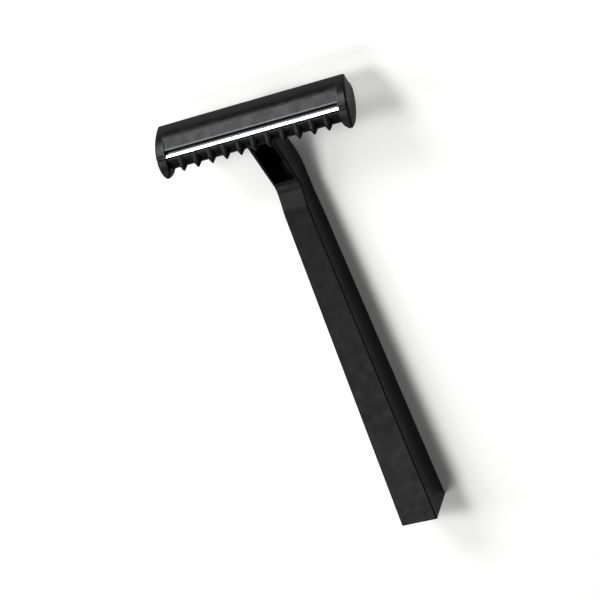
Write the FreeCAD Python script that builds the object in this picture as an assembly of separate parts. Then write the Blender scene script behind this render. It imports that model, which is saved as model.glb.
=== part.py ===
import FreeCAD, Part
import math
import os

# Fixed-head razor with one blade strip, moulded in two plastic pieces.
#
# The razor lies on its back: X runs along the head, Y along the handle towards
# the head and Z up, out of the shaving side.  All sizes are in millimetres.
# A reach is measured from the cap's rear edge towards the comb.
#
# handle  one moulding: open-backed shank, neck with a front pocket, blade bed,
#         comb guard and end lobes
# blade   ground steel strip with a locating hole and a slot
# cap     top cover with two pins that pass through the strip and the bed and
#         are headed over behind it

Vector = FreeCAD.Vector
UP = Vector(0, 0, 1)

# ---------------------------------------------------------------- shank
SHANK_LENGTH = 75.3         # butt to the bend under the neck
BUTT_WIDTH = 8.0
BEND_WIDTH = 5.5
BUTT_DEPTH = 8.45
SHANK_TOP_DEPTH = 6.3       # depth where the front begins to dip to the bend
DIP_LENGTH = 5.0            # length of that dip
BEND_DEPTH = 5.2
FRONT_DIP_RADIUS = 9.0      # curve where the front begins to dip
BEND_RADIUS = 3.5           # curve of the bend itself, on the front
BEND_SIDE_RADIUS = 4.0      # curve of the sides where they turn parallel
BEND_SIDE_SETBACK = 3.0     # the sides turn this far below the bend
BUTT_SLANT = 1.35           # the back rim ends this much short of the front
SHANK_EDGE_ROUND = 0.3
FRONT_WALL = 1.2
SIDE_WALL = 1.1
BUTT_WALL = 1.4
CHANNEL_CORNER = 0.4
RIB_COUNT = 5
RIB_THICKNESS = 0.8
RIB_RECESS = 1.6            # ribs stop this far inside the back rim

# ---------------------------------------------------------------- neck
NECK_WIDTH = 5.8
NECK_FLARE = 0.5            # extra width where the neck meets the head
NECK_FLARE_START = 3.5      # from the bend to the start of the flare
NECK_FLARE_RADIUS = 8.0
NECK_KNEE_REACH = 4.5       # from the bend to the knee in the neck's back
NECK_KNEE_HEIGHT = 0.65
NECK_KNEE_RADIUS = 14.0
BACK_CURVE_START = 8.0      # the back leaves its flat this far below the bend
BACK_CURVE_RADIUS = 12.0
NECK_WEB = 0.55             # side web on each side of the pocket
NECK_BACK_WALL = 1.4
NECK_FRONT_SETBACK = 1.2    # the neck's front meets the base behind the guard bar
NECK_FRONT_HEIGHT = -0.7
NECK_INNER_STEP = (0.9, 0.6)    # hidden end of the neck, from the head's rear corner
NECK_BACK_STEP = (0.2, 0.15)    # the neck's back meets the base this far from it
POCKET_START = 1.5          # pocket's lower edge above the bend
POCKET_DRAFT = 0.4          # lean of the pocket's lower wall
POCKET_ROOF_SETBACK = 1.0   # front of the pocket's roof behind the guard bar
POCKET_ROOF_HEIGHT = 0.4
POCKET_ROOF_STEP = (1.6, 0.9)   # back of the roof, from the head's rear corner
POCKET_MOUTH = (2.0, 3.0)   # the cutter leaves the neck by this much
BULKHEAD = 1.3              # wall between the channel and the pocket

# ---------------------------------------------------------------- head
HEAD_REACH = 19.6           # bend to the cap's rear edge, along the handle
HEAD_HEIGHT = 6.5           # cap's rear edge above the back rim
HEAD_LEAN = 30.0            # shaving plane to the handle, degrees
HEAD_WIDTH = 42.3
END_BULGE_RADIUS = 34.0     # the ends are slightly bowed outwards
END_BULGE_CENTRE = 6.5      # fullest point of the bow, from the rear edge
HEAD_EDGE_ROUND = 0.4
CROWN_REACH = 6.6           # rear edge to the crown of the head's section
CROWN_HEIGHT = 2.23
LOBE_RADIUS = 6.2           # section radius in front of the crown
LOBE_REACH = 11.0           # rear edge to the tip of the end lobes
REAR_CORNER = (2.9, -2.05)  # lower rear corner of the head's section
UNDERSIDE_MIDDLE = (7.0, -1.65)

# ---------------------------------------------------------------- blade
BLADE_WIDTH = 5.0
BLADE_THICKNESS = 0.25
BLADE_ANGLE = 24.0          # blade to shaving plane, degrees
EDGE_REACH = 7.35           # rear edge of the cap to the cutting edge
EDGE_HEIGHT = 1.85
GRIND_WIDTH = 0.55          # ground facet on each side of the edge
PIN_INSET = 9.35            # head's end to each pin
PIN_SETBACK = 3.0           # cutting edge to the pins' line
PIN_DIAMETER = 2.0
PIN_CLEARANCE = 0.05        # on the radius, in the strip and the bed
SLOT_TRAVEL = 0.6           # extra length of the slotted hole

# ---------------------------------------------------------------- cap
EAR_WIDTH = 2.0
EAR_COVER = 0.65            # length of strip hidden under each ear
SPLIT_REACH = 7.5           # rear edge to the split between ear and lobe
FACET_START = 1.9           # where the rear curve begins to blend to the facet
FACET_BLEND = 1.6           # length of that blend
FACET_RISE = 7.5            # slope of the flat facet, degrees
LIP_REACH = 5.86
LIP_ROUND = 0.15
SKIRT_DEPTH = 0.7           # cap's ends and rear reach below the strip's middle
SKIRT_CLEARANCE = 0.06      # sideways, between the strip and the skirt
SKIRT_GAP = 0.1             # sideways, between the skirt and the bed
STAKE_DIAMETER = 2.9
STAKE_HEIGHT = 0.5
STAKE_SUNK = 0.7            # depth of the counterbore the stake sits in

# ---------------------------------------------------------------- guard
GUARD_TOP_REACH = 7.85      # rear edge to the top of the bar's front face
GUARD_SINK = 0.3            # guard bar's top edge below the lobes' surface
GUARD_LOW_REACH = 9.33      # the bar's face falls back steeply to its lower edge
GUARD_LOW_HEIGHT = -0.3
GUARD_FACE_BULGE = 0.12
GUARD_EDGE_ROUND = 0.2
GROOVE_DEPTH = 0.7          # rinse groove between strip and guard bar
GUARD_LAND = 0.15           # flat on top of the bar, towards the groove
BED_OVERHANG = 0.7          # the strip overhangs the bed by this much
BED_TAIL = 2.5              # the bed's plane runs on behind the strip, inside the cap
BED_REAR = (0.5, 0.2)       # hidden rear end of the bed's section
LOBE_WIDTH = 2.4
LOBE_INNER_CURVE = (1.45, 2.2)   # width and length of the thumb-shaped inner curve
LOBE_OUTER_CURVE = 1.7      # length of the outer curve, from the tip to the bowed end
LOBE_TIP_DEPTH = 0.5        # thickness of a lobe at its tip
LOBE_REAR = 1.0             # the lobes' blanks start at this reach
SPLIT_ROUND = 0.25          # softened edges where ear and lobe meet
TOOTH_PITCH = 3.2
TOOTH_ROOT_REACH = 7.5      # hidden start of each tooth, inside the bar
TOOTH_WAIST_REACH = 9.4
TOOTH_TIP_REACH = 10.5
TOOTH_ROOT_RADIUS = 1.2
TOOTH_WAIST_RADIUS = 0.86
TOOTH_TIP_RADIUS = 0.28
TOOTH_TIP_HEIGHT = 0.75     # height of the tip above the rear edge
TOOTH_CREST = 0.15          # tooth crests stand proud of the bar by this much

# ---------------------------------------------------------------- coring
CORE_SKIN = 1.2             # wall left under the bed
CORE_FROM = 4.3             # reach of the core pockets, from the rear edge
CORE_TO = 8.0
CORE_RIB = 1.6              # solid left round the neck, pins and lobes
PIN_BOSS = 4.6              # solid width left round each pin

FAR = 20.0                  # cutters run this far past what they cut

# ---------------------------------------------------------------- worked out
BLADE_LENGTH = HEAD_WIDTH - 2 * EAR_WIDTH + 2 * EAR_COVER
PIN_SPACING = HEAD_WIDTH - 2 * PIN_INSET
TOOTH_COUNT = int((HEAD_WIDTH - 2 * LOBE_WIDTH) / TOOTH_PITCH)


# ================================================================ helpers
def plane_point(plane, a, b):
    """Place profile coordinates (a, b) in the YZ or the XY plane."""
    return Vector(0, a, b) if plane == "YZ" else Vector(a, b, 0)


def rounded_wire(plane, corners):
    """Closed wire through (a, b, radius) corners, with tangent arcs."""
    count = len(corners)
    stretches = []
    for index, (a, b, radius) in enumerate(corners):
        here = Vector(a, b, 0)
        before = Vector(*corners[index - 1][:2], 0)
        after = Vector(*corners[(index + 1) % count][:2], 0)
        back = (before - here).normalize()
        ahead = (after - here).normalize()
        half_turn = back.getAngle(ahead) / 2
        reach = radius / math.tan(half_turn)
        bisector = (back + ahead).normalize()
        middle = here + bisector * (radius / math.sin(half_turn) - radius)
        stretches.append((here + back * reach, middle, here + ahead * reach, radius))
    edges = []
    for index, (start, middle, end, radius) in enumerate(stretches):
        points = [plane_point(plane, p.x, p.y) for p in (start, middle, end)]
        if radius > 0:
            edges.append(Part.Arc(*points).toShape())
        following = stretches[(index + 1) % count][0]
        target = plane_point(plane, following.x, following.y)
        if points[2].distanceToPoint(target) > 1e-6:
            edges.append(Part.makeLine(points[2], target))
    return Part.Wire(edges)


def prism(wire, along, start, end):
    """Solid between two offsets of a closed wire along one axis."""
    face = Part.Face(wire)
    face.translate(along * start)
    return face.extrude(along * (end - start))


def across(wire, low, high):
    """Solid swept along X from low to high."""
    return prism(wire, Vector(1, 0, 0), low, high)


def polygon(points):
    """Closed straight-sided wire in the YZ plane."""
    return rounded_wire("YZ", [(a, b, 0) for a, b in points])


def head_placement():
    """From the head's own axes to the razor's.

    In the head, Y runs forward from the cap's rear edge as a negative
    number and Z stands out of the shaving plane.
    """
    turn = FreeCAD.Rotation(Vector(1, 0, 0), -HEAD_LEAN)
    return FreeCAD.Placement(Vector(0, SHANK_LENGTH + HEAD_REACH, HEAD_HEIGHT), turn)


def head_to_razor(reach, height):
    """Y and Z in the razor of a point given in the head's section."""
    point = head_placement().multVec(Vector(0, -reach, height))
    return point.y, point.z


def blade_point(setback, offset):
    """Head-section point at a setback from the edge and a normal offset."""
    lean = math.radians(BLADE_ANGLE)
    y = -EDGE_REACH + setback * math.cos(lean) + offset * math.sin(lean)
    z = EDGE_HEIGHT - setback * math.sin(lean) + offset * math.cos(lean)
    return y, z


def crown_height(reach):
    """Height of the head's outer section at a reach from the rear edge."""
    if reach <= CROWN_REACH:
        radius = (CROWN_REACH ** 2 + CROWN_HEIGHT ** 2) / (2 * CROWN_HEIGHT)
    else:
        radius = LOBE_RADIUS
    run = reach - CROWN_REACH
    return CROWN_HEIGHT - radius + math.sqrt(radius ** 2 - run ** 2)


def fused(shapes):
    """One clean solid from shapes that overlap."""
    whole = shapes[0].fuse(shapes[1:]) if len(shapes) > 1 else shapes[0]
    return whole.removeSplitter()


# ================================================================ shank and neck
def from_rear_corner(step):
    """Reach and height of a point a step in front of and above the head's rear corner."""
    return REAR_CORNER[0] + step[0], REAR_CORNER[1] + step[1]


def shank_front(y):
    """Height of the shank's flat front face."""
    run = SHANK_LENGTH - DIP_LENGTH
    return BUTT_DEPTH + (SHANK_TOP_DEPTH - BUTT_DEPTH) * y / run


def shank_half_width(y):
    """Half the shank's width at a distance from the butt."""
    return (BUTT_WIDTH + (BEND_WIDTH - BUTT_WIDTH) * y / SHANK_LENGTH) / 2


def stick_blank():
    """Shank and neck as one solid bar, before it is hollowed."""
    bend = SHANK_LENGTH
    neck_front = head_to_razor(GUARD_LOW_REACH - NECK_FRONT_SETBACK, NECK_FRONT_HEIGHT)
    neck_inner = head_to_razor(*from_rear_corner(NECK_INNER_STEP))
    neck_back = head_to_razor(*from_rear_corner(NECK_BACK_STEP))
    side = rounded_wire("YZ", [
        (0, BUTT_DEPTH, SHANK_EDGE_ROUND),
        (bend - DIP_LENGTH, SHANK_TOP_DEPTH, FRONT_DIP_RADIUS),
        (bend, BEND_DEPTH, BEND_RADIUS),
        (*neck_front, 0),
        (*neck_inner, 0),
        (*neck_back, 0),
        (bend + NECK_KNEE_REACH, NECK_KNEE_HEIGHT, NECK_KNEE_RADIUS),
        (bend - BACK_CURVE_START, 0, BACK_CURVE_RADIUS),
        (BUTT_SLANT, 0, SHANK_EDGE_ROUND),
    ])
    top = head_to_razor(0, 0)[0]
    half_top = (NECK_WIDTH + NECK_FLARE) / 2
    turn = bend - BEND_SIDE_SETBACK
    flare = bend + NECK_FLARE_START
    plan = rounded_wire("XY", [
        (-BUTT_WIDTH / 2, 0, 0), (BUTT_WIDTH / 2, 0, 0),
        (BEND_WIDTH / 2, turn, BEND_SIDE_RADIUS), (NECK_WIDTH / 2, flare, NECK_FLARE_RADIUS),
        (half_top, top, 0), (-half_top, top, 0),
        (-NECK_WIDTH / 2, flare, NECK_FLARE_RADIUS), (-BEND_WIDTH / 2, turn, BEND_SIDE_RADIUS),
    ])
    body = across(side, -BUTT_WIDTH, BUTT_WIDTH)
    body = body.common(prism(plan, UP, -FAR, FAR))
    return soften_front(body)


def soften_front(body):
    """Round the shank's two long front edges."""
    middle = (SHANK_LENGTH - DIP_LENGTH) / 2
    long_edges = []
    for edge in body.Edges:
        box = edge.BoundBox
        high = box.ZMin > SHANK_TOP_DEPTH / 2
        spans = box.YMin < middle < box.YMax
        if high and spans:
            long_edges.append(edge)
    return body.makeFillet(SHANK_EDGE_ROUND, long_edges)


def shank_channel():
    """Hollow of the shank, open at the back, with its cross ribs left in."""
    start = BUTT_WALL + BUTT_SLANT
    end = SHANK_LENGTH - BULKHEAD
    side = polygon([
        (start, -FAR), (start, shank_front(start) - FRONT_WALL),
        (SHANK_LENGTH - DIP_LENGTH, SHANK_TOP_DEPTH - FRONT_WALL),
        (end, BEND_DEPTH - FRONT_WALL), (end, -FAR),
    ])
    half_start = shank_half_width(start) - SIDE_WALL
    half_end = shank_half_width(end) - SIDE_WALL
    plan = rounded_wire("XY", [
        (-half_start, start, CHANNEL_CORNER), (half_start, start, CHANNEL_CORNER),
        (half_end, end, CHANNEL_CORNER), (-half_end, end, CHANNEL_CORNER),
    ])
    hollow = across(side, -BUTT_WIDTH, BUTT_WIDTH)
    hollow = hollow.common(prism(plan, UP, -FAR, FAR))
    step = (end - start) / (RIB_COUNT + 1)
    for number in range(1, RIB_COUNT + 1):
        rib_start = start + number * step - RIB_THICKNESS / 2
        rib = Part.makeBox(
            2 * BUTT_WIDTH, RIB_THICKNESS, FAR, Vector(-BUTT_WIDTH, rib_start, RIB_RECESS))
        hollow = hollow.cut(rib)
    return hollow


def neck_pocket():
    """Deep pocket in the neck, open at the front."""
    low = SHANK_LENGTH + POCKET_START
    floor_height = NECK_KNEE_HEIGHT + NECK_BACK_WALL
    knee = (SHANK_LENGTH + NECK_KNEE_REACH, floor_height)
    roof_front = head_to_razor(GUARD_LOW_REACH - POCKET_ROOF_SETBACK, POCKET_ROOF_HEIGHT)
    roof_back = head_to_razor(*from_rear_corner(POCKET_ROOF_STEP))
    mouth = (roof_front[0] - POCKET_MOUTH[0], roof_front[1] + POCKET_MOUTH[0])
    side = polygon([
        (low - POCKET_DRAFT, BEND_DEPTH + POCKET_MOUTH[1]), (low, floor_height),
        knee, roof_back, roof_front, mouth,
    ])
    half = NECK_WIDTH / 2 - NECK_WEB
    return across(side, -half, half)


# ================================================================ head
def head_section():
    """Outer section of the head at its ends, in the head's own axes."""
    def at(reach, height):
        return Vector(0, -reach, height)

    front = at(LOBE_REACH, crown_height(LOBE_REACH))
    front_low = at(LOBE_REACH, crown_height(LOBE_REACH) - LOBE_TIP_DEPTH)
    rear_middle = at(CROWN_REACH / 2, crown_height(CROWN_REACH / 2))
    crown = at(CROWN_REACH, CROWN_HEIGHT)
    lobe_reach = (CROWN_REACH + LOBE_REACH) / 2
    lobe_middle = at(lobe_reach, crown_height(lobe_reach))
    corner = at(*REAR_CORNER)
    rear_edge = at(0, 0)
    return Part.Wire([
        Part.Arc(rear_edge, rear_middle, crown).toShape(),
        Part.Arc(crown, lobe_middle, front).toShape(),
        Part.makeLine(front, front_low),
        Part.Arc(front_low, at(*UNDERSIDE_MIDDLE), corner).toShape(),
        Part.makeLine(corner, rear_edge),
    ])


def head_blank():
    """The head's closed outer form: cap and base together."""
    half = HEAD_WIDTH / 2
    blank = across(head_section(), -half - 1, half + 1)
    for side in (-1, 1):
        centre = Vector(side * (half - END_BULGE_RADIUS), -END_BULGE_CENTRE, -FAR)
        bow = Part.makeCylinder(END_BULGE_RADIUS, 2 * FAR, centre)
        inner = Part.makeBox(
            HEAD_WIDTH, 2 * FAR, 2 * FAR, Vector(-HEAD_WIDTH if side > 0 else 0, -FAR, -FAR))
        blank = blank.common(bow.fuse(inner))
    end_edges = [edge for edge in blank.Edges
                 if min(abs(edge.BoundBox.XMin), abs(edge.BoundBox.XMax)) > half - 1.5]
    long_edges = [edge for edge in blank.Edges
                  if edge.BoundBox.XLength > half and edge.BoundBox.YMax > -REAR_CORNER[0] - 0.5]
    return blank.makeFillet(HEAD_EDGE_ROUND, end_edges + long_edges)


def soften_split(shape):
    """Round the outer edge where an ear or a lobe ends at their split."""
    plane = -SPLIT_REACH
    edges = []
    for edge in shape.Edges:
        box = edge.BoundBox
        in_plane = abs(box.YMin - plane) < 1e-4 and abs(box.YMax - plane) < 1e-4
        if in_plane and box.ZMin > crown_height(SPLIT_REACH) - 0.1:
            edges.append(edge)
    return shape.makeFillet(SPLIT_ROUND, edges)


def under_plane(offset, low, high, from_setback=-FAR, to_setback=FAR):
    """Block below a plane parallel to the blade, between two setbacks."""
    corners = [blade_point(from_setback, offset), blade_point(to_setback, offset),
               blade_point(to_setback, offset - FAR), blade_point(from_setback, offset - FAR)]
    return across(polygon(corners), low, high)


def bed_region(gap):
    """Space of the base below the cap, a sideways gap short of the cap's skirt."""
    half = HEAD_WIDTH
    bed_half = BLADE_LENGTH / 2 + SKIRT_CLEARANCE + SKIRT_GAP - gap
    bed_back = BLADE_WIDTH + SKIRT_CLEARANCE + SKIRT_GAP - gap
    low = under_plane(-SKIRT_DEPTH, -half, half)
    bed = under_plane(-BLADE_THICKNESS / 2, -bed_half, bed_half, -1, bed_back)
    front = Part.makeBox(2 * half, FAR, 2 * FAR, Vector(-half, -SPLIT_REACH - FAR, -FAR))
    return low.fuse([bed, front])


def guard_section():
    """Section of the base between its end lobes."""
    top = Vector(0, -GUARD_TOP_REACH, crown_height(GUARD_TOP_REACH) - GUARD_SINK)
    low = Vector(0, -GUARD_LOW_REACH, GUARD_LOW_HEIGHT)
    fall = (low - top).normalize()
    outward = Vector(0, fall.z, -fall.y)
    face_end = low - fall * GUARD_EDGE_ROUND
    face_middle = (top + face_end) * 0.5 + outward * GUARD_FACE_BULGE
    nose = low - outward * GUARD_EDGE_ROUND * (1 - math.sqrt(0.5))
    under_front = low - outward * GUARD_EDGE_ROUND + Vector(0, GUARD_EDGE_ROUND, 0)
    bed_edge = Vector(0, *blade_point(BED_OVERHANG, -BLADE_THICKNESS / 2))
    bed_foot = Vector(0, *blade_point(BED_OVERHANG, -BLADE_THICKNESS / 2 - GROOVE_DEPTH))
    groove = Vector(0, top.y + GUARD_LAND, bed_foot.z)
    land = Vector(0, top.y + GUARD_LAND, top.z)
    bed_back = Vector(0, *blade_point(BLADE_WIDTH + BED_TAIL, -BLADE_THICKNESS / 2))
    corner = Vector(0, -REAR_CORNER[0], REAR_CORNER[1])
    underside = Vector(0, -UNDERSIDE_MIDDLE[0], UNDERSIDE_MIDDLE[1])
    rear = Vector(0, *BED_REAR)
    return Part.Wire([
        Part.Arc(top, face_middle, face_end).toShape(),
        Part.Arc(face_end, nose, under_front).toShape(),
        Part.Arc(under_front, underside, corner).toShape(),
        Part.makeLine(corner, rear),
        Part.makeLine(rear, bed_back),
        Part.makeLine(bed_back, bed_edge),
        Part.makeLine(bed_edge, bed_foot),
        Part.makeLine(bed_foot, groove),
        Part.makeLine(groove, land),
        Part.makeLine(land, top),
    ])


def tooth():
    """One comb tooth: a tapering ridge with a round tip, at X = 0."""
    root_height = crown_height(TOOTH_ROOT_REACH) - GUARD_SINK + TOOTH_CREST - TOOTH_ROOT_RADIUS
    root = Vector(0, -TOOTH_ROOT_REACH, root_height)
    tip = Vector(0, -TOOTH_TIP_REACH, TOOTH_TIP_HEIGHT)
    along = (tip - root).normalize()
    tip_run = (tip - root).Length
    waist_run = tip_run * (TOOTH_WAIST_REACH - TOOTH_ROOT_REACH) / (TOOTH_TIP_REACH - TOOTH_ROOT_REACH)
    ball_run = tip_run - TOOTH_TIP_RADIUS
    slope = math.asin((TOOTH_WAIST_RADIUS - TOOTH_TIP_RADIUS) / (ball_run - waist_run))
    touch_run = ball_run + TOOTH_TIP_RADIUS * math.sin(slope)
    touch_radius = TOOTH_TIP_RADIUS * math.cos(slope)
    bulge = math.pi / 4 + slope / 2
    arc_run = ball_run + TOOTH_TIP_RADIUS * math.sin(bulge)
    arc_radius = TOOTH_TIP_RADIUS * math.cos(bulge)
    profile = Part.Wire([
        Part.makeLine(Vector(0, 0, 0), Vector(TOOTH_ROOT_RADIUS, 0, 0)),
        Part.makeLine(Vector(TOOTH_ROOT_RADIUS, 0, 0), Vector(TOOTH_WAIST_RADIUS, 0, waist_run)),
        Part.makeLine(Vector(TOOTH_WAIST_RADIUS, 0, waist_run), Vector(touch_radius, 0, touch_run)),
        Part.Arc(Vector(touch_radius, 0, touch_run), Vector(arc_radius, 0, arc_run),
                 Vector(0, 0, tip_run)).toShape(),
        Part.makeLine(Vector(0, 0, tip_run), Vector(0, 0, 0)),
    ])
    ridge = Part.Face(profile).revolve(Vector(0, 0, 0), Vector(0, 0, 1), 360)
    ridge.Placement = FreeCAD.Placement(root, FreeCAD.Rotation(Vector(0, 0, 1), along))
    groove_side = -GUARD_TOP_REACH + GUARD_LAND
    ahead = Part.makeBox(
        4 * TOOTH_ROOT_RADIUS, FAR, 2 * FAR,
        Vector(-2 * TOOTH_ROOT_RADIUS, groove_side - FAR, -FAR))
    return ridge.common(ahead)


def pin_cylinder(x, radius, from_offset, to_offset, extra=0.0):
    """Cylinder square to the blade on a pin's line, or a slot if extra."""
    foot = Vector(x, *blade_point(PIN_SETBACK, from_offset))
    head = Vector(x, *blade_point(PIN_SETBACK, to_offset))
    length = (head - foot).Length
    direction = (head - foot).normalize()
    if extra == 0:
        return Part.makeCylinder(radius, length, foot, direction)
    ends = [Part.makeCylinder(radius, length, foot + Vector(side * extra / 2, 0, 0), direction)
            for side in (-1, 1)]
    middle = Part.makeBox(extra, 2 * radius, length)
    middle.Placement = FreeCAD.Placement(
        foot - Vector(extra / 2, 0, 0), FreeCAD.Rotation(Vector(0, 0, 1), direction))
    middle.translate(Vector(0, math.cos(math.radians(BLADE_ANGLE)) * -radius,
                            math.sin(math.radians(BLADE_ANGLE)) * radius))
    return fused(ends + [middle])


def pin_places():
    """X of the two pins."""
    return (-PIN_SPACING / 2, PIN_SPACING / 2)


def base_back():
    """Offset from the strip to the back of the base on the pins' line."""
    lean = math.radians(BLADE_ANGLE)
    y, z = blade_point(PIN_SETBACK, 0)
    probe = Part.makeLine(
        Vector(0, y, z), Vector(0, y - FAR * math.sin(lean), z - FAR * math.cos(lean)))
    inside = probe.common(Part.Face(head_section()))
    return -inside.Length


def stake_floor():
    """Offset from the strip to the counterbore's floor behind the bed."""
    return base_back() + STAKE_SUNK


def core_pockets():
    """Pockets that thin the base from behind, beside neck and pins."""
    neck_side = (NECK_WIDTH + NECK_FLARE) / 2 + CORE_RIB
    lobe_side = HEAD_WIDTH / 2 - LOBE_WIDTH - CORE_RIB / 2
    pin_near = PIN_SPACING / 2 - PIN_BOSS / 2
    pin_far = PIN_SPACING / 2 + PIN_BOSS / 2
    skin = -BLADE_THICKNESS / 2 - CORE_SKIN
    pockets = []
    for low, high in ((neck_side, pin_near), (pin_far, lobe_side)):
        for side in (-1, 1):
            start, end = sorted((side * low, side * high))
            block = Part.makeBox(
                end - start, CORE_TO - CORE_FROM, FAR, Vector(start, -CORE_TO, CROWN_HEIGHT - FAR))
            pockets.append(block.common(under_plane(skin, start, end)))
    return pockets


def quarter_curve(start, corner, end):
    """Bezier edge close to a quarter of an ellipse, in a corner of the XY plane."""
    pull = 0.55
    curve = Part.BezierCurve()
    curve.setPoles([start, start + (corner - start) * pull, end + (corner - end) * pull, end])
    return curve.toShape()


def bow_point(reach):
    """Half length of the bowed head at a reach from the rear edge."""
    run = reach - END_BULGE_CENTRE
    return HEAD_WIDTH / 2 - END_BULGE_RADIUS + math.sqrt(END_BULGE_RADIUS ** 2 - run ** 2)


def lobe_outline(side):
    """Thumb-shaped outline of one end lobe, seen square to the shaving plane."""
    inner = HEAD_WIDTH / 2 - LOBE_WIDTH
    tip = inner + LOBE_INNER_CURVE[0]
    curve_start = LOBE_REACH - LOBE_OUTER_CURVE
    outer = bow_point(curve_start)
    slope = (curve_start - END_BULGE_CENTRE) / math.sqrt(
        END_BULGE_RADIUS ** 2 - (curve_start - END_BULGE_CENTRE) ** 2)

    def at(x, reach):
        return Vector(side * x, -reach, 0)

    inner_start = at(inner, LOBE_REACH - LOBE_INNER_CURVE[1])
    rear = LOBE_REAR
    middle = (curve_start + rear) / 2
    return Part.Wire([
        quarter_curve(inner_start, at(inner, LOBE_REACH), at(tip, LOBE_REACH)),
        quarter_curve(at(tip, LOBE_REACH), at(outer - slope * LOBE_OUTER_CURVE, LOBE_REACH),
                      at(outer, curve_start)),
        Part.Arc(at(outer, curve_start), at(bow_point(middle), middle),
                 at(bow_point(rear), rear)).toShape(),
        Part.makeLine(at(bow_point(rear), rear), at(inner, rear)),
        Part.makeLine(at(inner, rear), inner_start),
    ])


def lobe(side, region):
    """One end lobe with its upper rim rounded."""
    blank = prism(lobe_outline(side), UP, -FAR, FAR)
    blank = blank.common(across(head_section(), -HEAD_WIDTH, HEAD_WIDTH))
    rim = []
    for edge in blank.Edges:
        ends = [vertex.Point for vertex in edge.Vertexes]
        on_top = all(abs(p.z - crown_height(-p.y)) < 1e-4 for p in ends)
        if on_top and edge.BoundBox.YLength > 0.01 and min(p.y for p in ends) < -SPLIT_REACH:
            rim.append(edge)
    rounded = blank.makeFillet(HEAD_EDGE_ROUND, rim)
    return soften_split(rounded.common(region))


def base_in_head():
    """Blade bed, guard bar, comb and end lobes, in the head's own axes."""
    half = HEAD_WIDTH / 2
    inner = half - LOBE_WIDTH
    region = bed_region(SKIRT_GAP)
    lobes = [lobe(side, region) for side in (-1, 1)]
    middle = across(guard_section(), -inner - 0.2, inner + 0.2).common(region)
    rear_trim = across(head_section(), -half, half)
    middle = middle.common(rear_trim)
    one_tooth = tooth()
    teeth = []
    for number in range(TOOTH_COUNT):
        copy = one_tooth.copy()
        copy.translate(Vector((number - (TOOTH_COUNT - 1) / 2) * TOOTH_PITCH, 0, 0))
        teeth.append(copy)
    return fused([middle] + lobes + teeth)


def blade_in_head():
    """Ground strip with its locating hole and slot."""
    half_thick = BLADE_THICKNESS / 2
    outline = polygon([
        blade_point(0, 0), blade_point(GRIND_WIDTH, half_thick),
        blade_point(BLADE_WIDTH, half_thick), blade_point(BLADE_WIDTH, -half_thick),
        blade_point(GRIND_WIDTH, -half_thick),
    ])
    strip = across(outline, -BLADE_LENGTH / 2, BLADE_LENGTH / 2)
    radius = PIN_DIAMETER / 2 + PIN_CLEARANCE
    left, right = pin_places()
    strip = strip.cut(pin_cylinder(left, radius, -1, 1))
    return strip.cut(pin_cylinder(right, radius, -1, 1, SLOT_TRAVEL))


def facet_cut():
    """Material removed in front of the cap's rear curve, between the ears."""
    slope = math.tan(math.radians(FACET_RISE))
    blend_end = FACET_START + FACET_BLEND
    start = Vector(0, -FACET_START, crown_height(FACET_START))
    radius = (CROWN_REACH ** 2 + CROWN_HEIGHT ** 2) / (2 * CROWN_HEIGHT)
    tangent = (CROWN_REACH - FACET_START) / math.sqrt(radius ** 2 - (CROWN_REACH - FACET_START) ** 2)
    knee = Vector(0, -FACET_START - FACET_BLEND / 2, start.z + tangent * FACET_BLEND / 2)
    end = Vector(0, -blend_end, knee.z + slope * FACET_BLEND / 2)
    lip_run = LIP_REACH - blend_end
    lip_top = Vector(0, -LIP_REACH + LIP_ROUND, end.z + slope * (lip_run - LIP_ROUND))
    lip_nose = lip_top + Vector(0, -LIP_ROUND, -LIP_ROUND)
    lip_mid = lip_top + Vector(0, -LIP_ROUND * math.sin(math.pi / 4),
                               -LIP_ROUND * (1 - math.cos(math.pi / 4)))
    below = Vector(0, lip_nose.y, -FAR)
    front = Vector(0, -FAR, -FAR)
    over_front = Vector(0, -FAR, FAR)
    over = Vector(0, start.y, FAR)
    blend = Part.BezierCurve()
    blend.setPoles([start, knee, end])
    wire = Part.Wire([
        blend.toShape(), Part.makeLine(end, lip_top),
        Part.Arc(lip_top, lip_mid, lip_nose).toShape(),
        Part.makeLine(lip_nose, below), Part.makeLine(below, front),
        Part.makeLine(front, over_front), Part.makeLine(over_front, over),
        Part.makeLine(over, start),
    ])
    span = HEAD_WIDTH / 2 - EAR_WIDTH
    return across(wire, -span, span)


def cap_in_head():
    """Cap with its ears, skirt, pins and headed-over pin ends."""
    blank = head_blank()
    blade_half = BLADE_LENGTH / 2 + SKIRT_CLEARANCE
    seat_back = BLADE_WIDTH + SKIRT_CLEARANCE
    over_blade = under_plane(BLADE_THICKNESS / 2, -blade_half, blade_half, -FAR, seat_back)
    cap = soften_split(blank.cut(bed_region(0)))
    cap = cap.cut(over_blade).cut(facet_cut())
    pins = []
    radius = PIN_DIAMETER / 2
    floor = stake_floor()
    for x in pin_places():
        pins.append(pin_cylinder(x, radius, BLADE_THICKNESS, floor - STAKE_HEIGHT / 2))
        pins.append(pin_cylinder(x, STAKE_DIAMETER / 2, floor, floor - STAKE_HEIGHT))
    return fused([cap] + pins)


def handle():
    """The whole handle moulding, in the razor's axes."""
    base = base_in_head()
    for pocket in core_pockets():
        base = base.cut(pocket)
    floor = stake_floor()
    radius = PIN_DIAMETER / 2 + PIN_CLEARANCE
    for x in pin_places():
        base = base.cut(pin_cylinder(x, radius, BLADE_THICKNESS, -FAR))
        base = base.cut(pin_cylinder(x, STAKE_DIAMETER / 2 + PIN_CLEARANCE, floor, -FAR))
    base.Placement = head_placement()
    stick = stick_blank().cut(shank_channel()).cut(neck_pocket())
    return fused([stick, base])


def in_razor(shape):
    """Move a head shape into the razor's axes."""
    shape.Placement = head_placement()
    return shape


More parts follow.
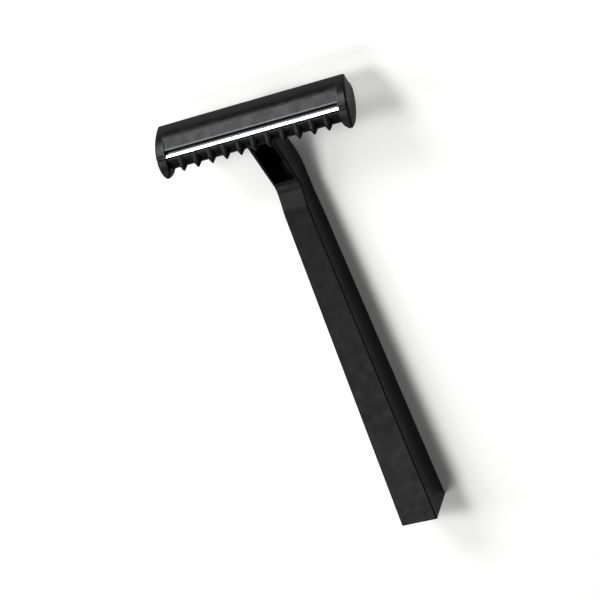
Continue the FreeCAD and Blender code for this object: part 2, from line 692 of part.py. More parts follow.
def main():
    os.makedirs("parts", exist_ok=True)
    pieces = {
        "handle": handle(),
        "blade": in_razor(blade_in_head()),
        "cap": in_razor(cap_in_head()),
    }
    box = FreeCAD.BoundBox()
    for shape in pieces.values():
        box.add(shape.optimalBoundingBox(False))
    to_origin = Vector(0, -box.Center.y, 0)
    for name, shape in pieces.items():
        shape.translate(to_origin)
        shape.exportStep("parts/" + name + ".step")
        print(name, len(shape.Solids), shape.isValid(), round(shape.Volume, 2))
    print("butt at Y", round(to_origin.y, 3))


main()
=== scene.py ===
"""Finishes, moulding marks and studio for a fixed-head razor with one blade strip.

The razor lies on its back on a pale sweep: X runs along the head, Y along the
handle towards the head and Z up, out of the shaving side.  The handle, the
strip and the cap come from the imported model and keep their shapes.  The
operators below give them their finishes and add the marks that moulding and
assembly leave.
"""
import math
from collections import namedtuple

import bpy
from bpy.props import FloatProperty, FloatVectorProperty, IntProperty, PointerProperty
from mathutils import Matrix, Vector


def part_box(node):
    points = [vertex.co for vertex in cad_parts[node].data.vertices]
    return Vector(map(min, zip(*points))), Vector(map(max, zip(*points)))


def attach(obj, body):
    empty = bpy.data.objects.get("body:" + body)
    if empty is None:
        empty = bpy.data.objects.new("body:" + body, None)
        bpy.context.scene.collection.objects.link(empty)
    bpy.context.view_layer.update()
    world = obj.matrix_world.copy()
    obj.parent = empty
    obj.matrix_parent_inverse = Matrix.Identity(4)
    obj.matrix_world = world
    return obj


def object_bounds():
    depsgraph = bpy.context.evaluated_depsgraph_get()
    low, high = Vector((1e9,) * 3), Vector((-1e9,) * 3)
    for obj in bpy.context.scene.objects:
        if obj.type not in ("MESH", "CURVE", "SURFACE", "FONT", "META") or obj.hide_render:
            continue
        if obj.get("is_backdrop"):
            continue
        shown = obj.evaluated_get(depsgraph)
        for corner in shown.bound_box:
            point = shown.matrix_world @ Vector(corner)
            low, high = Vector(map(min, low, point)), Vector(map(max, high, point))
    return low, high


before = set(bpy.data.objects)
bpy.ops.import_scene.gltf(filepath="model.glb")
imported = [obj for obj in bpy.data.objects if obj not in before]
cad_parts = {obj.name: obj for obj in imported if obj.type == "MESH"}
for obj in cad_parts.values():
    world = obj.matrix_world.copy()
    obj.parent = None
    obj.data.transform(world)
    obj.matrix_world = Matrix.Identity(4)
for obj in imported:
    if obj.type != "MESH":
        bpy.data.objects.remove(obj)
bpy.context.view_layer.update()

bl_info = {
    "name": "Fixed-Head Razor",
    "version": (1, 0, 0),
    "blender": (4, 5, 0),
    "location": "View3D > Sidebar > Razor",
    "description": "Finishes, moulding marks and studio for a fixed-head razor",
    "category": "Object",
}

MM = 0.001
BODY = "root"
UP = Vector((0, 0, 1))
TOWARDS_HEAD = Vector((0, 1, 0))

# ---------------------------------------------------------------- wear, painted highlights and paper
WEAR_AND_HIGHLIGHT_STARTS = 0.99           # cosine between flat and rounded normal where the handle's wear and the cap's painted highlight begin
WEAR_AND_HIGHLIGHT_FULL = 0.75             # and where they are complete
PAINTED_LIP_CORE = 0.5               # share of the painted lip highlight's band that is fully pale
LINE_CONTRAST = 0.02         # how far the rolling lines change the strip's roughness
PAPER_FIBRE = 0.4 * MM       # width of the paper's fibres, and their depth
PAPER_RELIEF = 0.002 * MM
PAPER_ROUGHNESS = 0.95
PAPER_SPECULAR = 0.2

# ---------------------------------------------------------------- places and marks
END_FACE = 0.9               # least share of a normal along an axis for a face to face it
LIP_STEP = 0.01 * MM         # the lip is looked for in steps, up to this far from the edge
LIP_SEARCH = 4 * MM
LIP_LEVEL = 0.85             # the lip's top is where the cap's normal points up this much
RIM_TOLERANCE = 0.01 * MM    # height within which points belong to a pin's end
BAY_STEP = 0.2 * MM          # the bays are looked for in steps along the shank
BAY_LEAST = 5 * MM           # shortest stretch that counts as a bay
BAY_DEPTH = 3 * MM           # a hit further in than this is the front wall, not a rib
HEAD_AND_NECK = 15 * MM      # the channel ends at least this far from the handle's far end
OFF_MIDDLE = 0.01 * MM       # rays pass beside the middle plane, clear of a mesh edge there
OUTSIDE_BUTT = 5 * MM        # the ray that finds the butt starts this far outside it
GATE_RISE = 2.2 * MM         # the gate's middle above the back rim
GATE_TAPER = 0.8             # the stub's end beside its foot
DOME_MARGIN = 0.04 * MM      # the dome stays this far inside the pin's end
SMOOTH_ANGLE = math.radians(35)    # edges that turn by more stay sharp

# ---------------------------------------------------------------- stage
SENSOR_WIDTH = 36            # millimetres
CLIP_START = 0.01            # metres, as is the sweep's width
SWEEP_WIDTH = 3.0
SWEEP_GAP = 0.02 * MM        # the sweep lies this far under the razor's back rim

# The name of the setting that holds its brightness, the direction from the aimed
# point, and the distance, width and height in metres.
Softbox = namedtuple("Softbox", "brightness direction distance width height")
SOFTBOXES = {
    # The cap's flat front mirrors the key; the others model the rest softly.
    "key_softbox": Softbox("key_radiance", (-0.38, 0.78, 0.475), 0.6, 0.30, 0.18),
    "lip_softbox": Softbox("lip_radiance", (-0.42, 0.31, 0.85), 0.8, 0.25, 0.25),
    "side_softbox": Softbox("side_radiance", (-0.84, 0.26, 0.50), 0.7, 0.34, 0.34),
    "front_panel": Softbox("front_radiance", (-0.40, -0.42, 0.80), 0.9, 0.40, 0.40),
    "fill_panel": Softbox("fill_radiance", (0.45, 0.30, 0.85), 0.9, 0.45, 0.45),
}


# ---------------------------------------------------------------- colours and nodes
def linear(hex_colour):
    """An sRGB hex colour as the linear RGBA that shaders work in."""
    digits = hex_colour.lstrip("#")
    channels = [int(digits[i:i + 2], 16) / 255 for i in (0, 2, 4)]
    return tuple(c / 12.92 if c <= 0.04045 else ((c + 0.055) / 1.055) ** 2.4
                 for c in channels) + (1.0,)


def add_node(tree, kind, values=None, links=None, **settings):
    """Add one node, set its settings and socket values, and link its inputs."""
    node = tree.nodes.new(kind)
    for name, value in settings.items():
        setattr(node, name, value)
    for socket, value in (values or {}).items():
        node.inputs[socket].default_value = value
    for socket, source in (links or {}).items():
        tree.links.new(source, node.inputs[socket])
    return node


def blank_material(name):
    """A new material with an empty node tree."""
    material = bpy.data.materials.new(name)
    material.use_nodes = True
    material.node_tree.nodes.clear()
    return material, material.node_tree


def finish_material(tree, shader):
    """Link a shader to the material's output."""
    add_node(tree, "ShaderNodeOutputMaterial", links={"Surface": shader.outputs["BSDF"]})


def noise(tree, place, size, detail=2.0, stretch=(1, 1, 1)):
    """Noise whose patches are about size metres wide, longer along a stretched axis."""
    mapped = add_node(tree, "ShaderNodeMapping", vector_type="POINT",
                      values={"Scale": tuple(1 / s for s in stretch)},
                      links={"Vector": place})
    return add_node(tree, "ShaderNodeTexNoise",
                    values={"Scale": 1 / size, "Detail": detail},
                    links={"Vector": mapped.outputs["Vector"]}).outputs["Fac"]


def spread(tree, source, low, high, from_low=0.3, from_high=0.7):
    """Stretch a 0 to 1 pattern over a range of values."""
    return add_node(tree, "ShaderNodeMapRange",
                    values={"From Min": from_low, "From Max": from_high,
                            "To Min": low, "To Max": high},
                    links={"Value": source}).outputs["Result"]


def edge_wear_and_highlight(tree, width):
    """1 along sharp corners, outer or inner, falling to 0 about width metres away: wear on the
    handle, a painted highlight on the cap.
    """
    flat = add_node(tree, "ShaderNodeNewGeometry").outputs["Normal"]
    rounded = add_node(tree, "ShaderNodeBevel", values={"Radius": width}, samples=6)
    alike = add_node(tree, "ShaderNodeVectorMath", operation="DOT_PRODUCT",
                     links={0: flat, 1: rounded.outputs["Normal"]})
    return spread(tree, alike.outputs["Value"], 1.0, 0.0, WEAR_AND_HIGHLIGHT_FULL, WEAR_AND_HIGHLIGHT_STARTS)


# ---------------------------------------------------------------- finishes
def painted_lip_mask(tree, place, lip, width):
    """Mask of the painted highlight along the cap's lip: 1 on a line through a lip point parallel
    to X, falling to 0 at width metres from it.
    """
    level = add_node(tree, "ShaderNodeVectorMath", operation="MULTIPLY",
                     values={1: (0, 1, 1)}, links={0: place})
    away = add_node(tree, "ShaderNodeVectorMath", operation="DISTANCE",
                    values={1: (0, lip.y, lip.z)}, links={0: level.outputs["Vector"]})
    return spread(tree, away.outputs["Value"], 1.0, 0.0, PAINTED_LIP_CORE * width, width)


def moulded_polystyrene(name, settings, roughness, specular, worn, lip=None):
    """Black high-impact polystyrene, injection moulded in a spark-eroded tool.

    The eye sees a deep black with a soft satin glow, slightly paler flow
    bands along the moulding, and corners rubbed greyer on the handle; on the
    cap the pale corners are a painted highlight.  Where a lip point is given,
    a line parallel to X through it is as pale as the corners: a painted highlight.
    """
    material, tree = blank_material(name)
    place = add_node(tree, "ShaderNodeTexCoord").outputs["Object"]
    flow = noise(tree, place, settings.flow_band, stretch=(1, 4, 1))
    # The corner mask is wear on the handle and a painted highlight on the cap.
    corner = edge_wear_and_highlight(tree, settings.corner_wear_and_highlight)
    # On the cap, a pale line along the lip is a painted highlight.
    if lip:
        painted_lip_line = painted_lip_mask(tree, place, lip, settings.painted_lip_reach)
        corner = add_node(tree, "ShaderNodeMath", operation="MAXIMUM",
                          links={0: corner, 1: painted_lip_line}).outputs["Value"]
    body = add_node(tree, "ShaderNodeMix", data_type="RGBA",
                    values={"A": settings.body, "B": settings.flow},
                    links={"Factor": spread(tree, flow, 0.0, 1.0)})
    # The handle passes its wear colour as worn; the cap passes the colour of its painted highlight.
    colour = add_node(tree, "ShaderNodeMix", data_type="RGBA",
                      values={"B": worn},
                      links={"Factor": corner, "A": body.outputs["Result"]})
    # Handling leaves patches a few millimetres wide that shine a little more.
    handled = noise(tree, place, settings.rub_patch, detail=4.0)
    satin = spread(tree, handled, roughness - settings.rub_range, roughness + settings.rub_range)
    # Spark erosion leaves pits of about 0.05 mm; they are drawn coarser so that they show.
    grain = noise(tree, place, settings.grain, detail=3.0)
    waviness = noise(tree, place, settings.sink_width, detail=0.0)
    relief = add_node(tree, "ShaderNodeMath", operation="MULTIPLY_ADD",
                      values={1: settings.sink_share}, links={0: waviness, 2: grain})
    bump = add_node(tree, "ShaderNodeBump",
                    values={"Strength": 1.0, "Distance": settings.grain_depth},
                    links={"Height": relief.outputs["Value"]})
    shader = add_node(tree, "ShaderNodeBsdfPrincipled",
                      values={"IOR": settings.ior, "Specular IOR Level": specular},
                      links={"Base Color": colour.outputs["Result"], "Roughness": satin,
                             "Normal": bump.outputs["Normal"]})
    finish_material(tree, shader)
    return material


def ground_stainless(name, settings, edge, back):
    """Hardened stainless strip, rolled bright, with its edge ground and honed.

    The eye sees a dark near mirror with fine lines along the strip and, beside
    the cutting edge, a much paler frosted band where the grindstone passed.
    The rolled faces' colour is painted shade: darker than bare steel's, so that
    they stay dark where they mirror the pale sweep.
    """
    material, tree = blank_material(name)
    place = add_node(tree, "ShaderNodeTexCoord").outputs["Object"]
    setback = add_node(tree, "ShaderNodeVectorMath", operation="DOT_PRODUCT",
                       values={1: back}, links={0: place})
    from_edge = add_node(tree, "ShaderNodeMath", operation="SUBTRACT",
                         values={1: edge.dot(back)}, links={0: setback.outputs["Value"]})
    ground = spread(tree, from_edge.outputs["Value"], 1.0, 0.0,
                    settings.grind - settings.grind_fade, settings.grind + settings.grind_fade)
    # Rolling lines are a few hundredths of a millimetre apart; they are drawn coarser.
    lines = noise(tree, place, settings.line_pitch, stretch=(settings.line_length, 1, 1))
    # The rolled colour is painted shade, darker than bare steel; the honed band keeps steel's pale
    # colour.
    colour = add_node(tree, "ShaderNodeMix", data_type="RGBA",
                      values={"A": settings.rolled, "B": settings.honed},
                      links={"Factor": ground})
    rolled = spread(tree, lines,
                    settings.roughness - LINE_CONTRAST, settings.roughness + LINE_CONTRAST)
    satin = add_node(tree, "ShaderNodeMix", data_type="FLOAT",
                     values={"B": settings.honed_roughness}, links={"Factor": ground, "A": rolled})
    bump = add_node(tree, "ShaderNodeBump",
                    values={"Strength": 1.0, "Distance": settings.line_depth},
                    links={"Height": lines})
    shader = add_node(tree, "ShaderNodeBsdfPrincipled", values={"Metallic": 1.0},
                      links={"Base Color": colour.outputs["Result"],
                             "Roughness": satin.outputs["Result"],
                             "Normal": bump.outputs["Normal"]})
    finish_material(tree, shader)
    return material


def matt_paper(name, colour):
    """Uncoated white card for the sweep: even, without any gloss."""
    material, tree = blank_material(name)
    place = add_node(tree, "ShaderNodeTexCoord").outputs["Object"]
    fibre = noise(tree, place, PAPER_FIBRE, detail=3.0)
    bump = add_node(tree, "ShaderNodeBump", values={"Strength": 1.0, "Distance": PAPER_RELIEF},
                    links={"Height": fibre})
    shader = add_node(tree, "ShaderNodeBsdfPrincipled",
                      values={"Base Color": colour, "Roughness": PAPER_ROUGHNESS,
                              "Specular IOR Level": PAPER_SPECULAR},
                      links={"Normal": bump.outputs["Normal"]})
    finish_material(tree, shader)
    return material


def give_material(piece, material):
    """Make one material the whole finish of a piece."""
    piece.data.materials.clear()
    piece.data.materials.append(material)


# ---------------------------------------------------------------- sizes and colours
class RazorPlastic(bpy.types.PropertyGroup):
    """Black plastic of the handle and the cap."""

    body: FloatVectorProperty(
        name="Body", description="Colour of the plastic", subtype="COLOR", size=4,
        min=0, max=1, default=linear("#080809"))
    flow: FloatVectorProperty(
        name="Flow bands", description="Slightly paler colour of the flow bands",
        subtype="COLOR", size=4, min=0, max=1, default=linear("#0e0e0f"))
    worn: FloatVectorProperty(
        name="Worn corners", description="Greyer colour of the handle's rubbed corners",
        subtype="COLOR", size=4, min=0, max=1, default=linear("#424244"))
    # Painted highlight: this pale colour on the cap's lip and sharp corners stands in for their
    # glint.
    cap_painted_highlight: FloatVectorProperty(
        name="Cap corners", description="Pale sheen on the cap's thin lip and sharp corners",
        subtype="COLOR", size=4, min=0, max=1, default=linear("#747476"))
    handle_roughness: FloatProperty(
        name="Handle roughness", description="Satin of the handle moulding",
        subtype="FACTOR", min=0, max=1, default=0.36)
    cap_roughness: FloatProperty(
        name="Cap roughness", description="Satin of the smoother cap",
        subtype="FACTOR", min=0, max=1, default=0.27)
    ior: FloatProperty(
        name="IOR", description="Refractive index of polystyrene", min=1, max=2, default=1.5)
    handle_specular: FloatProperty(
        name="Handle specular level", description="Gloss of the handle, far below a smooth 0.5",
        subtype="FACTOR", min=0, max=1, default=0.095)
    cap_specular: FloatProperty(
        name="Cap specular level", description="Gloss of the cap, far below a smooth 0.5",
        subtype="FACTOR", min=0, max=1, default=0.125)
    flow_band: FloatProperty(
        name="Flow band", description="Width of the flow bands", subtype="DISTANCE",
        unit="LENGTH", default=3.0 * MM)
    rub_patch: FloatProperty(
        name="Rubbed patch", description="Width of the patches that handling leaves",
        subtype="DISTANCE", unit="LENGTH", default=2.2 * MM)
    rub_range: FloatProperty(
        name="Rubbing", description="How far handling changes the roughness",
        subtype="FACTOR", min=0, max=0.3, default=0.07)
    grain: FloatProperty(
        name="Grain", description="Width of the pits in the surface", subtype="DISTANCE",
        unit="LENGTH", default=0.30 * MM)
    grain_depth: FloatProperty(
        name="Grain depth", description="Depth of the pits", subtype="DISTANCE",
        unit="LENGTH", default=0.008 * MM)
    sink_width: FloatProperty(
        name="Sink width", description="Width of the shallow sink marks of cooling plastic",
        subtype="DISTANCE", unit="LENGTH", default=7.0 * MM)
    sink_share: FloatProperty(
        name="Sink depth", description="Depth of the sink marks beside that of the pits",
        min=0, max=20, default=4.0)
    # On the handle this band is wear; on the cap the same band is a painted highlight.
    corner_wear_and_highlight: FloatProperty(
        name="Corner wear", description="Width of the rubbed band along corners",
        subtype="DISTANCE", unit="LENGTH", default=0.18 * MM)
    # Painted highlight: reach of the pale line along the cap's lip.
    painted_lip_reach: FloatProperty(
        name="Lip line", description="Reach of the pale line along the cap's lip",
        subtype="DISTANCE", unit="LENGTH", default=0.26 * MM)


class RazorSteel(bpy.types.PropertyGroup):
    """Steel of the blade strip."""

    # Painted shade: the rolled faces are coloured darker than bare steel so that they stay dark
    # over the pale sweep.
    rolled: FloatVectorProperty(
        name="Rolled steel", description="Colour of the strip's faces, darker than bare steel",
        subtype="COLOR", size=4, min=0, max=1, default=linear("#606266"))
    honed: FloatVectorProperty(
        name="Honed steel", description="Colour of the ground band at the edge",
        subtype="COLOR", size=4, min=0, max=1, default=linear("#e2e3e4"))
    roughness: FloatProperty(
        name="Roughness", description="Roughness of the rolled faces", subtype="FACTOR",
        min=0, max=1, default=0.05)
    honed_roughness: FloatProperty(
        name="Honed roughness", description="Roughness of the ground band", subtype="FACTOR",
        min=0, max=1, default=0.26)
    grind: FloatProperty(
        name="Grind width", description="Width of the ground band", subtype="DISTANCE",
        unit="LENGTH", default=0.55 * MM)
    grind_fade: FloatProperty(
        name="Grind fade", description="Softness of the ground band's border",
        subtype="DISTANCE", unit="LENGTH", default=0.04 * MM)
    line_pitch: FloatProperty(
        name="Line pitch", description="Spacing of the rolling lines", subtype="DISTANCE",
        unit="LENGTH", default=0.12 * MM)
    line_length: FloatProperty(
        name="Line length", description="Length of the rolling lines in pitches",
        min=1, max=500, default=80)
    line_depth: FloatProperty(
        name="Line depth", description="Depth of the rolling lines", subtype="DISTANCE",
        unit="LENGTH", default=0.0003 * MM)


class RazorMarks(bpy.types.PropertyGroup):
    """Marks that moulding and assembly leave."""

    ejector_radius: FloatProperty(
        name="Ejector radius", description="Radius of the ejector pins' marks",
        subtype="DISTANCE", unit="LENGTH", default=0.95 * MM)
    ejector_height: FloatProperty(
        name="Ejector height", description="How far the marks stand proud",
        subtype="DISTANCE", unit="LENGTH", default=0.07 * MM)
    dome_height: FloatProperty(
        name="Stake dome", description="Crown on each headed-over pin",
        subtype="DISTANCE", unit="LENGTH", default=0.16 * MM)
    dome_dimple: FloatProperty(
        name="Stake dimple", description="Radius of the dimple that the heading tool leaves",
        subtype="DISTANCE", unit="LENGTH", default=0.42 * MM)
    gate_radius: FloatProperty(
        name="Gate radius", description="Radius of the broken gate on the butt",
        subtype="DISTANCE", unit="LENGTH", default=0.6 * MM)
    gate_height: FloatProperty(
        name="Gate height", description="Height of the broken gate",
        subtype="DISTANCE", unit="LENGTH", default=0.22 * MM)
    round_segments: IntProperty(
        name="Segments", description="Sides of the round marks", min=12, max=96, default=40)


class RazorStage(bpy.types.PropertyGroup):
    """Camera, sweep and lights."""

    camera_turn: FloatProperty(
        name="Camera turn", description="Turn of the view to the head's right",
        subtype="ANGLE", unit="ROTATION", default=math.radians(26.262))
    camera_rise: FloatProperty(
        name="Camera rise", description="Lean of the view towards the head",
        subtype="ANGLE", unit="ROTATION", default=math.radians(17.806))
    camera_roll: FloatProperty(
        name="Camera roll", description="Roll of the picture", subtype="ANGLE",
        unit="ROTATION", default=math.radians(22.638))
    camera_distance: FloatProperty(
        name="Camera distance", description="From the aimed point to the camera",
        subtype="DISTANCE", unit="LENGTH", default=546.2 * MM)
    camera_lens: FloatProperty(
        name="Lens", description="Focal length on a 36 mm sensor, in millimetres",
        default=164.45)
    aim_side: FloatProperty(
        name="Aim sideways", description="Aimed point from the razor's middle plane",
        subtype="DISTANCE", unit="LENGTH", default=-6.762 * MM)
    aim_back: FloatProperty(
        name="Aim from the head", description="Aimed point behind the head's far edge",
        subtype="DISTANCE", unit="LENGTH", default=42.517 * MM)
    aim_height: FloatProperty(
        name="Aim height", description="Aimed point above the sweep",
        subtype="DISTANCE", unit="LENGTH", default=6.072 * MM)
    paper: FloatVectorProperty(
        name="Paper", description="Colour of the sweep", subtype="COLOR", size=4,
        min=0, max=1, default=linear("#f4f4f3"))
    room_strength: FloatProperty(
        name="Room", description="Brightness of the pale room around", min=0, default=0.05)
    key_radiance: FloatProperty(
        name="Key brightness", description="Brightness of the softbox behind the head",
        min=0, default=12.5)
    side_radiance: FloatProperty(
        name="Side brightness", description="Brightness of the softbox at the left",
        min=0, default=5.5)
    lip_radiance: FloatProperty(
        name="Lip brightness", description="Brightness of the small softbox above the cap's lip",
        min=0, default=16.0)
    front_radiance: FloatProperty(
        name="Front brightness", description="Brightness of the panel above the handle's left",
        min=0, default=5.8)
    fill_radiance: FloatProperty(
        name="Fill brightness", description="Brightness of the fill panel at the right",
        min=0, default=1.3)


# ---------------------------------------------------------------- modelling steps
def deselect_all():
    """Leave edit mode with nothing selected."""
    if bpy.context.object and bpy.context.object.mode != "OBJECT":
        bpy.ops.object.mode_set(mode="OBJECT")
    bpy.ops.object.select_all(action="DESELECT")


def select_faces(piece, wanted):
    """In edit mode, select only the faces that wanted() accepts."""
    bpy.ops.mesh.select_all(action="DESELECT")
    bpy.ops.object.mode_set(mode="OBJECT")
    for face in piece.data.polygons:
        face.select = wanted(face)
    bpy.ops.object.mode_set(mode="EDIT")


def facing_out(face):
    """True for the upper end face of an upright cylinder."""
    return face.normal.z > END_FACE


def upright_disc(name, radius, depth, segments, centre, axis):
    """A disc whose +Z end faces along an axis, left in edit mode in face selection."""
    deselect_all()
    turn = axis.to_track_quat("Z", "Y").to_euler()
    bpy.ops.mesh.primitive_cylinder_add(
        vertices=segments, radius=radius, depth=depth, location=centre, rotation=turn)
    piece = bpy.context.object
    piece.name = name
    bpy.ops.object.mode_set(mode="EDIT")
    bpy.ops.mesh.select_mode(type="FACE")
    return piece


def inset_rings(*rings):
    """Inset the selected face ring by ring, each by its width and its rise."""
    for width, rise in rings:
        bpy.ops.mesh.inset(thickness=width, depth=rise)


def settle(piece, material):
    """Apply a piece's place, shade it, give it its finish and let it ride."""
    bpy.ops.object.mode_set(mode="OBJECT")
    bpy.ops.object.transform_apply(location=True, rotation=True, scale=True)
    bpy.ops.object.shade_smooth_by_angle(angle=SMOOTH_ANGLE)
    give_material(piece, material)
    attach(piece, BODY)


def strip_axes():
    """The strip's cutting edge, the direction back from it and the strip's outer normal."""
    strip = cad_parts["blade"]
    outer = max((face for face in strip.data.polygons if face.normal.z > 0), key=lambda f: f.area)
    normal = outer.normal.copy()
    back = normal.cross(Vector((1, 0, 0))).normalized()
    if back.z > 0:
        back.negate()
    edge = min((vertex.co for vertex in strip.data.vertices), key=lambda co: co.dot(back))
    return edge.copy(), back, normal


def lip_top():
    """Top of the cap's thin lip, above the strip in the middle plane."""
    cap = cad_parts["cap"]
    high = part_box("cap")[1].z + MM
    place = strip_axes()[0]
    end = place.y + LIP_SEARCH
    while place.y < end:
        hit, top, normal, _ = cap.ray_cast(Vector((0, place.y, high)), -UP)
        if hit and normal.z > LIP_LEVEL:
            return top
        place.y += LIP_STEP
    raise RuntimeError("the lip of the cap was not found")


def stake_ends():
    """Middle and radius of each pin's headed-over end, and the way that the ends face."""
    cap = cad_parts["cap"]
    normal = strip_axes()[2]
    lowest = min(vertex.co.dot(normal) for vertex in cap.data.vertices)
    rim = [v.co for v in cap.data.vertices if v.co.dot(normal) < lowest + RIM_TOLERANCE]
    ends = []
    for side in (-1, 1):
        here = [co for co in rim if co.x * side > 0]
        low = Vector([min(co[i] for co in here) for i in range(3)])
        high = Vector([max(co[i] for co in here) for i in range(3)])
        ends.append(((low + high) / 2, (high.x - low.x) / 2))
    return ends, -normal


def channel_bays():
    """Middle of the front wall's inner face in each bay between the shank's ribs."""
    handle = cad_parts["handle"]
    low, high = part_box("handle")
    bays = []
    run = []
    y = low.y
    while y < high.y - HEAD_AND_NECK:
        hit, point, normal, _ = handle.ray_cast(Vector((OFF_MIDDLE, y, -MM)), UP)
        deep = hit and point.z > BAY_DEPTH and normal.z < -END_FACE
        if deep:
            run.append(point.copy())
        elif run:
            bays.append(run)
            run = []
        y += BAY_STEP
    long_enough = [bay for bay in bays if len(bay) * BAY_STEP > BAY_LEAST]
    return [bay[len(bay) // 2] for bay in long_enough]


# ---------------------------------------------------------------- operators
class RAZOR_OT_finish_handle(bpy.types.Operator):
    """Give the handle moulding its satin black plastic"""

    bl_idname = "razor.finish_handle"
    bl_label = "Handle finish"

    def execute(self, context):
        plastic = context.scene.razor_plastic
        material = moulded_polystyrene("satin_black_polystyrene", plastic, plastic.handle_roughness,
                                       plastic.handle_specular, plastic.worn)
        give_material(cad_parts["handle"], material)
        return {"FINISHED"}


class RAZOR_OT_finish_cap(bpy.types.Operator):
    """Give the cap its smoother black plastic, with a painted highlight on its lip and sharp
    corners
    """

    bl_idname = "razor.finish_cap"
    bl_label = "Cap finish"

    def execute(self, context):
        plastic = context.scene.razor_plastic
        material = moulded_polystyrene("smooth_black_polystyrene", plastic, plastic.cap_roughness,
                                       plastic.cap_specular, plastic.cap_painted_highlight, lip_top())
        give_material(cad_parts["cap"], material)
        return {"FINISHED"}


class RAZOR_OT_finish_strip(bpy.types.Operator):
    """Give the blade strip its ground steel, with painted shade on its rolled faces"""

    bl_idname = "razor.finish_strip"
    bl_label = "Blade finish"

    def execute(self, context):
        edge, back, _ = strip_axes()
        material = ground_stainless("ground_stainless_strip", context.scene.razor_steel, edge, back)
        give_material(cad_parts["blade"], material)
        return {"FINISHED"}


class RAZOR_OT_stake_domes(bpy.types.Operator):
    """Crown the two headed-over pins on the back of the base"""

    bl_idname = "razor.stake_domes"
    bl_label = "Stake domes"

    def execute(self, context):
        marks = context.scene.razor_marks
        ends, outward = stake_ends()
        material = bpy.data.materials["smooth_black_polystyrene"]
        height = marks.dome_height
        dimple = marks.dome_dimple
        for number, (centre, radius) in enumerate(ends, start=1):
            foot = 0.5 * height
            dome = upright_disc(f"stake_dome_{number}", radius - DOME_MARGIN, foot,
                                marks.round_segments, centre, outward)
            select_faces(dome, facing_out)
            inset_rings(
                (0.2 * radius, 0.6 * height),                # steep shoulder
                (0.3 * radius, 0.15 * height),               # low crown
                (0.5 * radius - dimple - DOME_MARGIN, 0),    # flat up to the dimple
                (0.35 * dimple, -0.5 * height),              # dimple's wall
                (0.3 * dimple, 0),                           # dimple's floor
            )
            settle(dome, material)
        return {"FINISHED"}


class RAZOR_OT_ejector_marks(bpy.types.Operator):
    """Leave the ejector pins' round marks inside the shank"""

    bl_idname = "razor.ejector_marks"
    bl_label = "Ejector marks"

    def execute(self, context):
        marks = context.scene.razor_marks
        material = bpy.data.materials["satin_black_polystyrene"]
        radius = marks.ejector_radius
        height = marks.ejector_height
        for number, place in enumerate(channel_bays(), start=1):
            # Half of the disc is sunk in the wall.
            mark = upright_disc(f"ejector_mark_{number}", radius, 2 * height,
                                marks.round_segments, place, -UP)
            select_faces(mark, facing_out)
            inset_rings(
                (0.12 * radius, 0),                 # flat rim
                (0.08 * radius, -0.4 * height),     # step down to the pin's face
            )
            settle(mark, material)
        return {"FINISHED"}


class RAZOR_OT_gate_stub(bpy.types.Operator):
    """Leave the broken stub of the mould's gate on the butt"""

    bl_idname = "razor.gate_stub"
    bl_label = "Gate stub"

    def execute(self, context):
        marks = context.scene.razor_marks
        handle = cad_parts["handle"]
        radius = marks.gate_radius
        height = marks.gate_height
        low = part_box("handle")[0]
        start = Vector((0, low.y - OUTSIDE_BUTT, low.z + GATE_RISE))
        hit, place, normal, _ = handle.ray_cast(start, TOWARDS_HEAD)
        if not hit:
            raise RuntimeError("the butt of the handle was not found")
        # Half of the disc is sunk in the butt.
        stub = upright_disc("gate_stub", radius, 2 * height, marks.round_segments, place, normal)
        select_faces(stub, facing_out)
        bpy.ops.transform.resize(value=(GATE_TAPER, GATE_TAPER, GATE_TAPER))
        inset_rings(
            (0.15 * radius, -0.25 * height),    # the break is torn in from its rim
            (0.3 * radius, 0.15 * height),      # and stands up again in its middle
        )
        settle(stub, bpy.data.materials["satin_black_polystyrene"])
        return {"FINISHED"}


def view_axes(stage):
    """Towards the camera, the picture's right and its up, for the stage's view."""
    turn, rise, roll = stage.camera_turn, stage.camera_rise, stage.camera_roll
    towards = Vector((math.sin(turn) * math.cos(rise), math.sin(rise),
                      math.cos(turn) * math.cos(rise)))
    level = (-towards).cross(TOWARDS_HEAD).normalized()
    above = level.cross(-towards)
    right = math.cos(roll) * level - math.sin(roll) * above
    up = math.sin(roll) * level + math.cos(roll) * above
    return towards, right, up


def add_camera(stage):
    """Add the camera and return the point that it aims at, set back from the head."""
    towards, right, up = view_axes(stage)
    head_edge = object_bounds()[1][1]
    aim = Vector((stage.aim_side, head_edge - stage.aim_back, stage.aim_height))
    data = bpy.data.cameras.new("camera")
    data.sensor_width = SENSOR_WIDTH
    data.lens = stage.camera_lens
    data.clip_start = CLIP_START
    camera = bpy.data.objects.new("camera", data)
    camera.matrix_world = Matrix((right, up, towards)).transposed().to_4x4()
    camera.location = aim + towards * stage.camera_distance
    bpy.context.scene.collection.objects.link(camera)
    bpy.context.scene.camera = camera
    return aim


def add_softbox(name, softbox, aim, radiance):
    """Add a rectangular light of even brightness, aimed at the razor."""
    data = bpy.data.lights.new(name, "AREA")
    data.shape = "RECTANGLE"
    data.size = softbox.width
    data.size_y = softbox.height
    data.energy = radiance * math.pi * softbox.width * softbox.height
    light = bpy.data.objects.new(name, data)
    towards = Vector(softbox.direction).normalized()
    light.location = aim + towards * softbox.distance
    light.rotation_euler = towards.to_track_quat("Z", "Y").to_euler()
    bpy.context.scene.collection.objects.link(light)


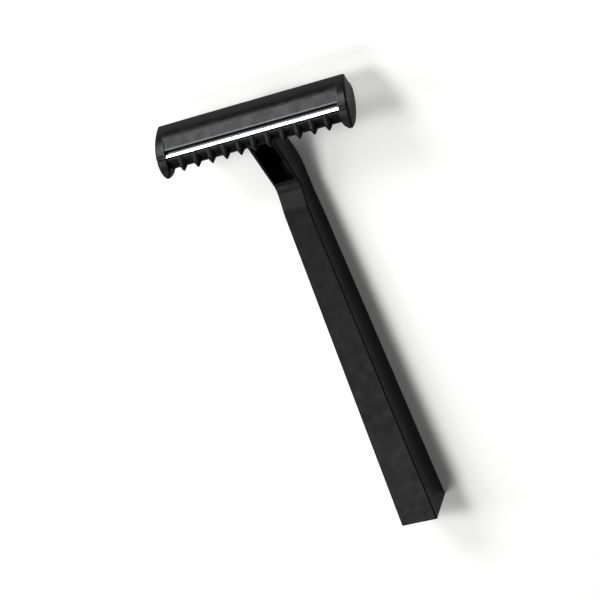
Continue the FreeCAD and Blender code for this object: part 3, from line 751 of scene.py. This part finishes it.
class RAZOR_OT_stage(bpy.types.Operator):
    """Set up the pale sweep, the soft lights and the camera"""

    bl_idname = "razor.stage"
    bl_label = "Stage"

    def execute(self, context):
        stage = context.scene.razor_stage
        deselect_all()
        bpy.ops.mesh.primitive_plane_add(size=SWEEP_WIDTH, location=(0, 0, -SWEEP_GAP))
        floor = context.object
        floor.name = "paper_sweep"
        bpy.ops.object.transform_apply(location=True, rotation=True, scale=True)
        give_material(floor, matt_paper("matt_white_paper", stage.paper))
        floor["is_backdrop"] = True
        aim = add_camera(stage)
        for name, softbox in SOFTBOXES.items():
            add_softbox(name, softbox, aim, getattr(stage, softbox.brightness))
        world = bpy.data.worlds.new("pale_room")
        world.use_nodes = True
        backdrop = world.node_tree.nodes["Background"]
        backdrop.inputs["Color"].default_value = linear("#ffffff")
        backdrop.inputs["Strength"].default_value = stage.room_strength
        context.scene.world = world
        context.scene.view_settings.view_transform = "Standard"
        return {"FINISHED"}


class RAZOR_PT_panel(bpy.types.Panel):
    """Lists the razor's finishes, marks and stage"""

    bl_idname = "RAZOR_PT_panel"
    bl_label = "Fixed-Head Razor"
    bl_space_type = "VIEW_3D"
    bl_region_type = "UI"
    bl_category = "Razor"

    def draw(self, context):
        layout = self.layout
        for operator in OPERATORS:
            layout.operator(operator.bl_idname)
        for group in PROPERTY_GROUPS:
            settings = getattr(context.scene, group)
            box = layout.box()
            for name in settings.bl_rna.properties.keys():
                if name not in ("rna_type", "name"):
                    box.prop(settings, name)


PROPERTY_GROUPS = {
    "razor_plastic": RazorPlastic,
    "razor_steel": RazorSteel,
    "razor_marks": RazorMarks,
    "razor_stage": RazorStage,
}

OPERATORS = (
    RAZOR_OT_finish_handle,
    RAZOR_OT_finish_cap,
    RAZOR_OT_finish_strip,
    RAZOR_OT_stake_domes,
    RAZOR_OT_ejector_marks,
    RAZOR_OT_gate_stub,
    RAZOR_OT_stage,
)


def register():
    for name, group in PROPERTY_GROUPS.items():
        bpy.utils.register_class(group)
        setattr(bpy.types.Scene, name, PointerProperty(type=group))
    for operator in OPERATORS:
        bpy.utils.register_class(operator)
    bpy.utils.register_class(RAZOR_PT_panel)


def unregister():
    bpy.utils.unregister_class(RAZOR_PT_panel)
    for operator in reversed(OPERATORS):
        bpy.utils.unregister_class(operator)
    for name, group in reversed(PROPERTY_GROUPS.items()):
        delattr(bpy.types.Scene, name)
        bpy.utils.unregister_class(group)


def main():
    register()
    bpy.ops.razor.finish_handle()
    bpy.ops.razor.finish_cap()
    bpy.ops.razor.finish_strip()
    bpy.ops.razor.stake_domes()
    bpy.ops.razor.ejector_marks()
    bpy.ops.razor.gate_stub()
    bpy.ops.razor.stage()


if __name__ == "__main__":
    main()
